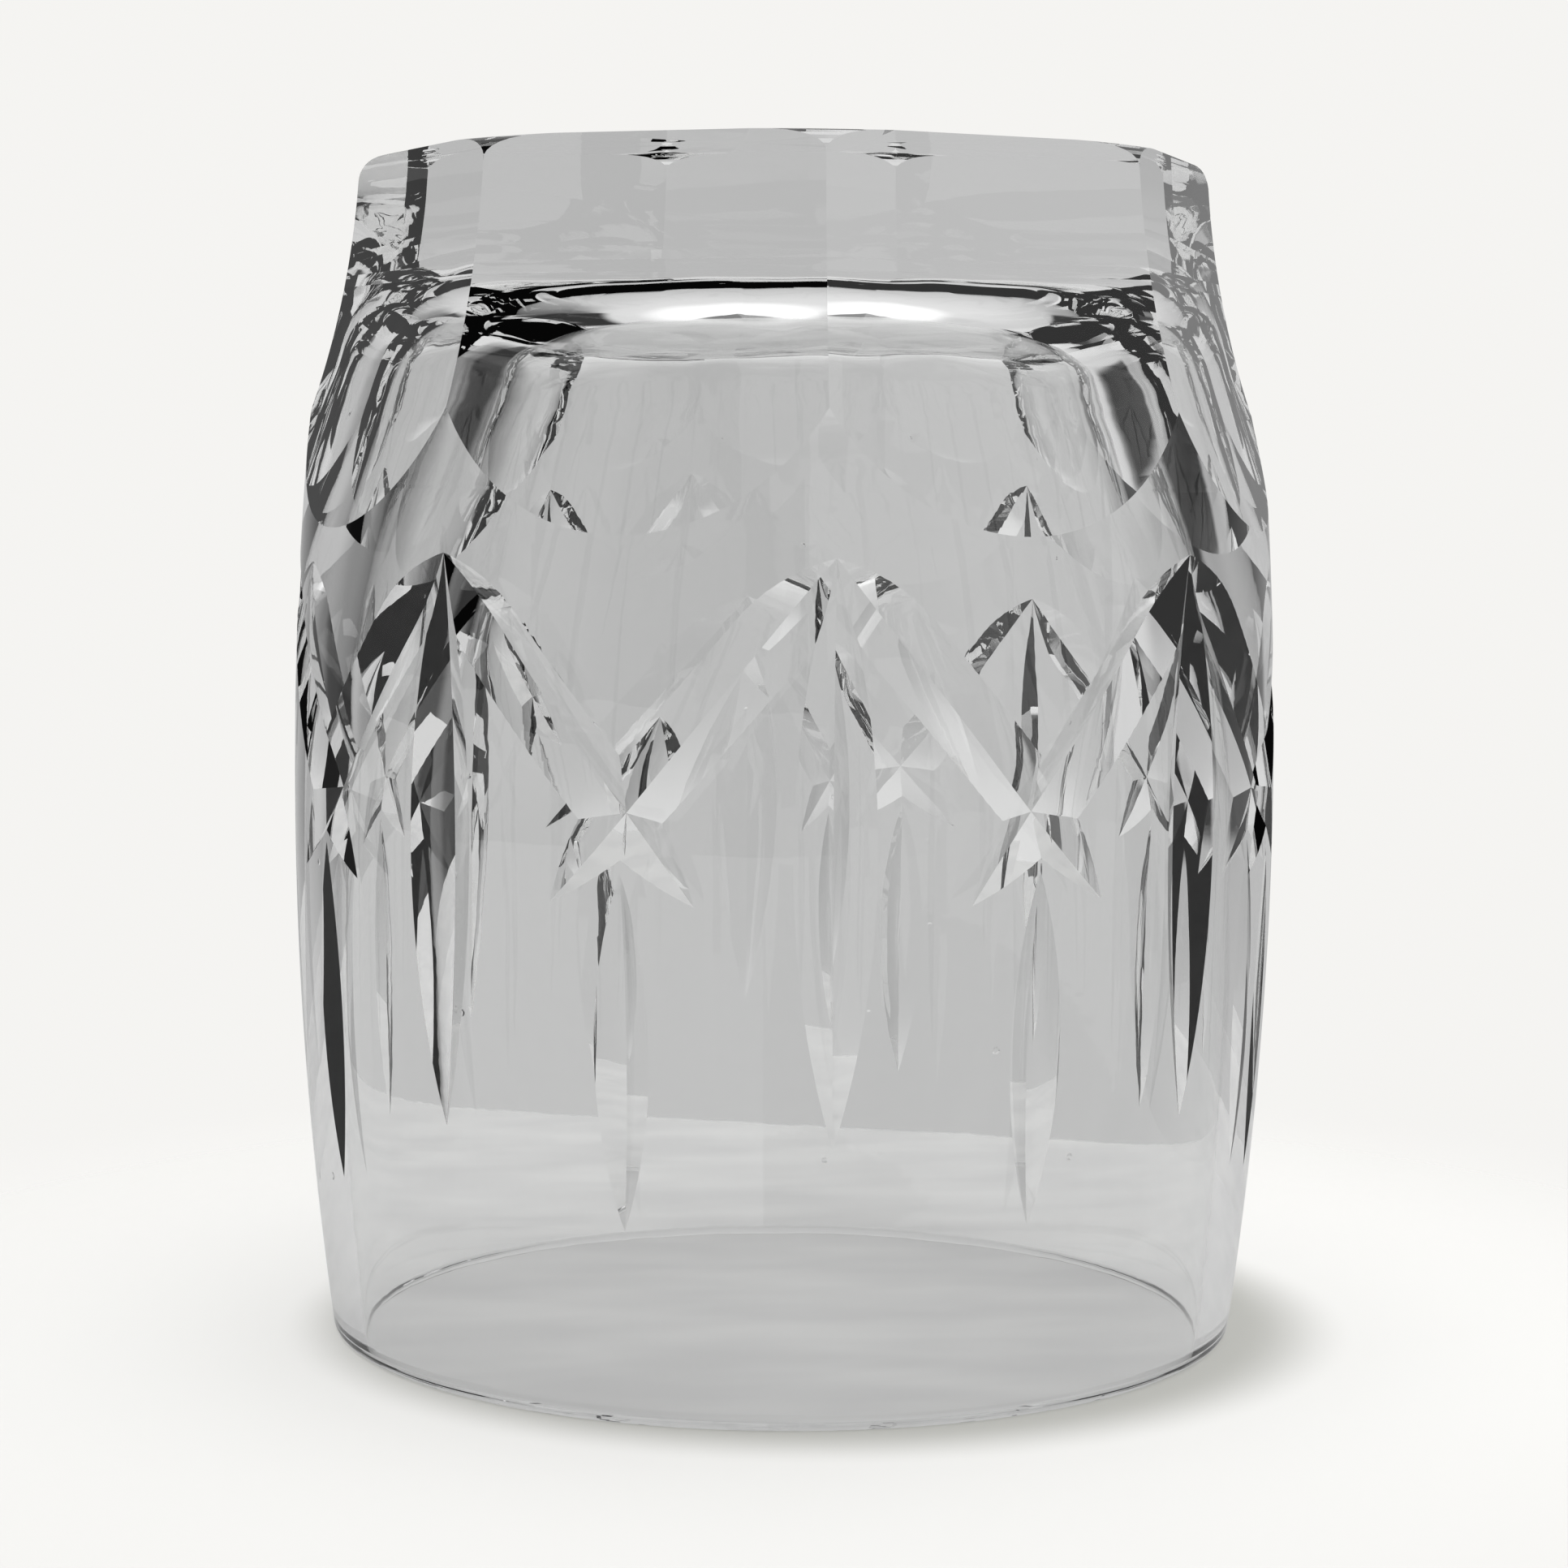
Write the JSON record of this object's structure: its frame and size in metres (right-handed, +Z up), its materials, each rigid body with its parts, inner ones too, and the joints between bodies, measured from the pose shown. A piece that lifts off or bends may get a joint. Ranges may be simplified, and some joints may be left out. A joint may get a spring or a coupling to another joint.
{
  "type": "whiskey tumbler",
  "caption": "Heavy cut-crystal whiskey tumbler with a barrel side, a fluted thick base and a band of V cuts, standing on its rim.",
  "frame": {"origin": "centre of the rim's plane, which is the surface that the inverted tumbler stands on", "axes": "+Z runs up the tumbler's axis from the rim at Z 0 to the flat of the base at the top, the mouth opens towards -Z, and one peak of the cut pattern lies on -Y, just below a ridge between two base flutes"},
  "size_m": [0.0856, 0.0856, 0.1019],
  "materials": {
    "crystal": "clear colourless lead crystal, fire-polished rim, polished cuts"
  },
  "bodies": {
    "root": {"tumbler": "crystal"}
  },
  "joints": []
}
